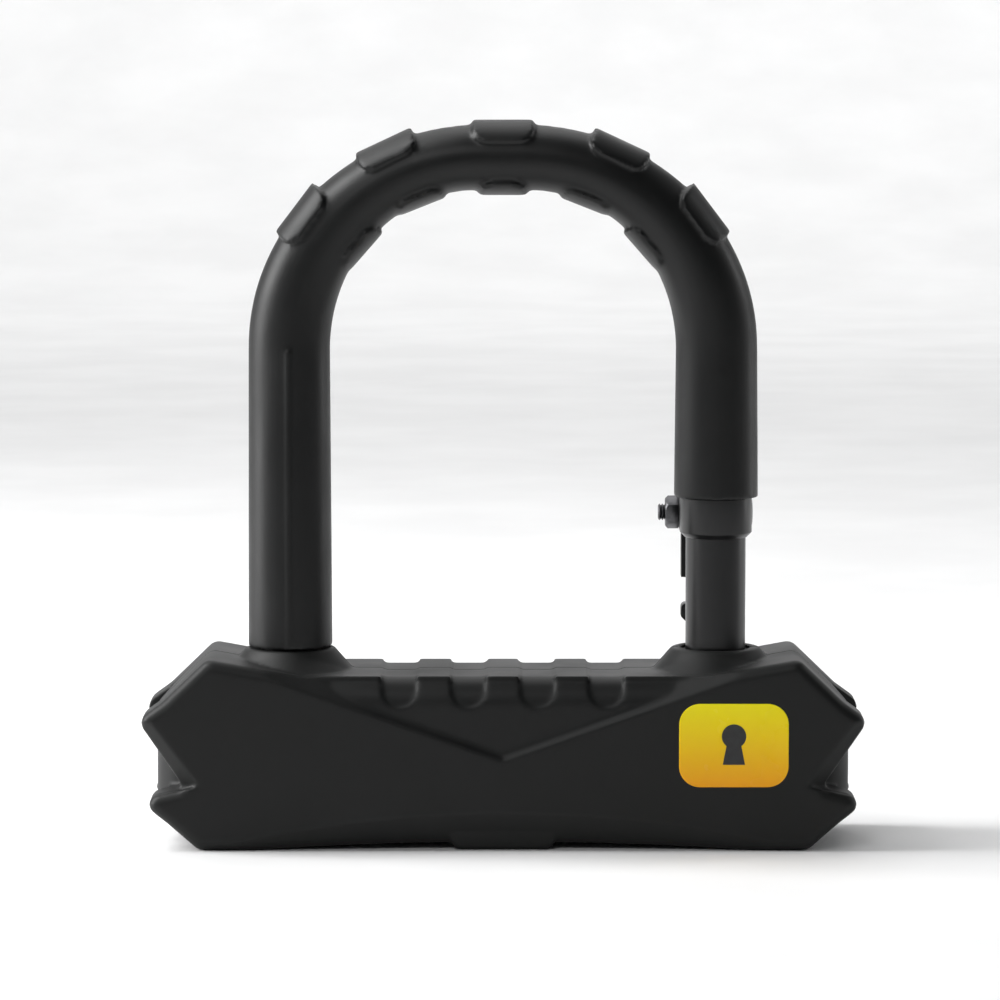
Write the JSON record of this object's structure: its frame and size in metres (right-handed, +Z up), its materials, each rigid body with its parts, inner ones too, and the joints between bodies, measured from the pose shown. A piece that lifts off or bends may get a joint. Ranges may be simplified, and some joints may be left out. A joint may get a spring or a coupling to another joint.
{
  "type": "bicycle u lock",
  "caption": "Short U lock: hardened shackle in a rubber sleeve, moulded crossbar cover with armour panels, disc cylinder and deadbolts, bracket clamp on one leg.",
  "frame": {"origin": "on the surface that the lock stands on, under the middle of the crossbar", "axes": "+X to the right along the crossbar, +Y to the back, +Z up towards the shackle's crown"},
  "size_m": [0.172, 0.04, 0.1731],
  "materials": {
    "bar_coating": "satin dark grey coating",
    "sleeve_rubber": "moulded, soft sheen",
    "dark_plating": "dark plating",
    "cover_plastic": "satin moulded, soft touch",
    "badge_yellow": "satin",
    "seal_rubber": "moulded",
    "tube_steel": "bare hardened steel",
    "guide_zinc": "die cast",
    "disc_brass": "machined"
  },
  "bodies": {
    "lock_body": {"front_cover": "cover_plastic", "rear_cover": "cover_plastic", "cover_screws": "dark_plating", "badge": "badge_yellow", "leg_seal_left": "seal_rubber", "leg_seal_right": "seal_rubber", "crossbar_tube": "tube_steel", "end_plug_left": "tube_steel", "end_plug_right": "tube_steel", "leg_guide_left": "guide_zinc", "leg_guide_right": "guide_zinc", "guide_pins": "tube_steel", "cylinder_housing": "guide_zinc", "cylinder_set_screw": "tube_steel", "bolt_guide_plate": "tube_steel", "plate_screws": "tube_steel"},
    "shackle": {"shackle_rod": "bar_coating", "shackle_sleeve": "sleeve_rubber", "clamp_ring": "bar_coating", "bracket_tongue": "bar_coating", "clamp_bolt": "dark_plating", "clamp_nut": "dark_plating"},
    "key_plug": {"lock_plug": "disc_brass", "plug_tail": "tube_steel", "anti_drill_disc": "tube_steel", "detainer_discs": "disc_brass", "disc_spacers": "disc_brass", "scroll_cam": "tube_steel", "cam_clip": "tube_steel"},
    "sidebar_bar": {"sidebar": "tube_steel"},
    "bolt_right": {"deadbolt_right": "tube_steel", "drive_pin_right": "tube_steel"},
    "bolt_left": {"deadbolt_left": "tube_steel", "drive_pin_left": "tube_steel"},
    "keyhole_cover": {"dust_cover": "cover_plastic"}
  },
  "joints": [
    {"name": "shackle_lift", "type": "slide", "parent": "lock_body", "child": "shackle", "axis": [0, 0, 1], "range_m": [0, 0.06]},
    {"name": "plug_turn", "type": "hinge", "parent": "lock_body", "child": "key_plug", "pos_m": [0, 0, 0.015], "axis": [0, 0, 1], "range_deg": [0, 90]},
    {"name": "sidebar_slide", "type": "slide", "parent": "key_plug", "child": "sidebar_bar", "axis": [1, 0, 0], "range_m": [0, 0.0009]},
    {"name": "deadbolt_right_slide", "type": "slide", "parent": "lock_body", "child": "bolt_right", "axis": [1, 0, 0], "range_m": [0, 0.0045]},
    {"name": "deadbolt_left_slide", "type": "slide", "parent": "lock_body", "child": "bolt_left", "axis": [-1, 0, 0], "range_m": [0, 0.0045]},
    {"name": "dust_cover_slide", "type": "slide", "parent": "lock_body", "child": "keyhole_cover", "axis": [0, 1, 0], "range_m": [0, 0.01]}
  ],
  "couplings": [
    {"joint": "deadbolt_right_slide", "follows": "plug_turn", "m_per_rad": 0.0028648},
    {"joint": "deadbolt_left_slide", "follows": "plug_turn", "m_per_rad": 0.0028648}
  ]
}
